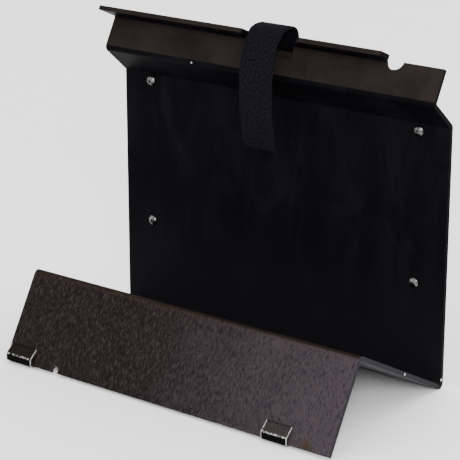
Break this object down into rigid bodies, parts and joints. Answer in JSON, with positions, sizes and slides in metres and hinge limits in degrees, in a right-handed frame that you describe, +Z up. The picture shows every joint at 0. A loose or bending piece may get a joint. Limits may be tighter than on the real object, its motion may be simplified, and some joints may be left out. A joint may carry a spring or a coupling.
{
  "type": "strap-held gear cradle",
  "caption": "Free-standing cradle bent from one painted sheet: upright back, sloping shelf, front lip, hooked top edge, and a hook-and-loop strap that lifts.",
  "frame": {"origin": "under the middle of the whole assembly, on the plane it stands on", "axes": "+X along the sheet's width to the user's right, +Y towards the back where the screw ends stand out, +Z up"},
  "size_m": [0.3, 0.171, 0.2631],
  "materials": {
    "black_paint": "gloss black paint, brownish on the narrow strips, lightly marked",
    "zinc_steel": "bright zinc plate",
    "clip_steel": "black lacquer over bare steel cut edges",
    "webbing": "woven black nylon, loop faced",
    "hook_tape": "moulded hook tape, matt",
    "black_rivet": "gloss black paint"
  },
  "bodies": {
    "root": {"bent_panel": "black_paint", "screw_upper_left": "zinc_steel", "screw_upper_right": "zinc_steel", "screw_lower_left": "zinc_steel", "screw_lower_right": "zinc_steel", "washer_upper_left": "zinc_steel", "washer_upper_right": "zinc_steel", "washer_lower_left": "zinc_steel", "washer_lower_right": "zinc_steel", "nut_upper_left": "zinc_steel", "nut_upper_right": "zinc_steel", "nut_lower_left": "zinc_steel", "nut_lower_right": "zinc_steel", "lip_clip_left": "clip_steel", "lip_clip_right": "clip_steel", "strap_tail": "webbing", "strap_anchor_plate": "zinc_steel", "rivet_left": "black_rivet", "rivet_right": "black_rivet"},
    "flap": {"strap_flap": "webbing", "hook_patch": "hook_tape"}
  },
  "joints": [
    {"name": "strap_lift", "type": "hinge", "parent": "root", "child": "flap", "pos_m": [0.004, 0.05445, 0.262], "axis": [-1, 0, 0], "range_deg": [0, 120]}
  ]
}
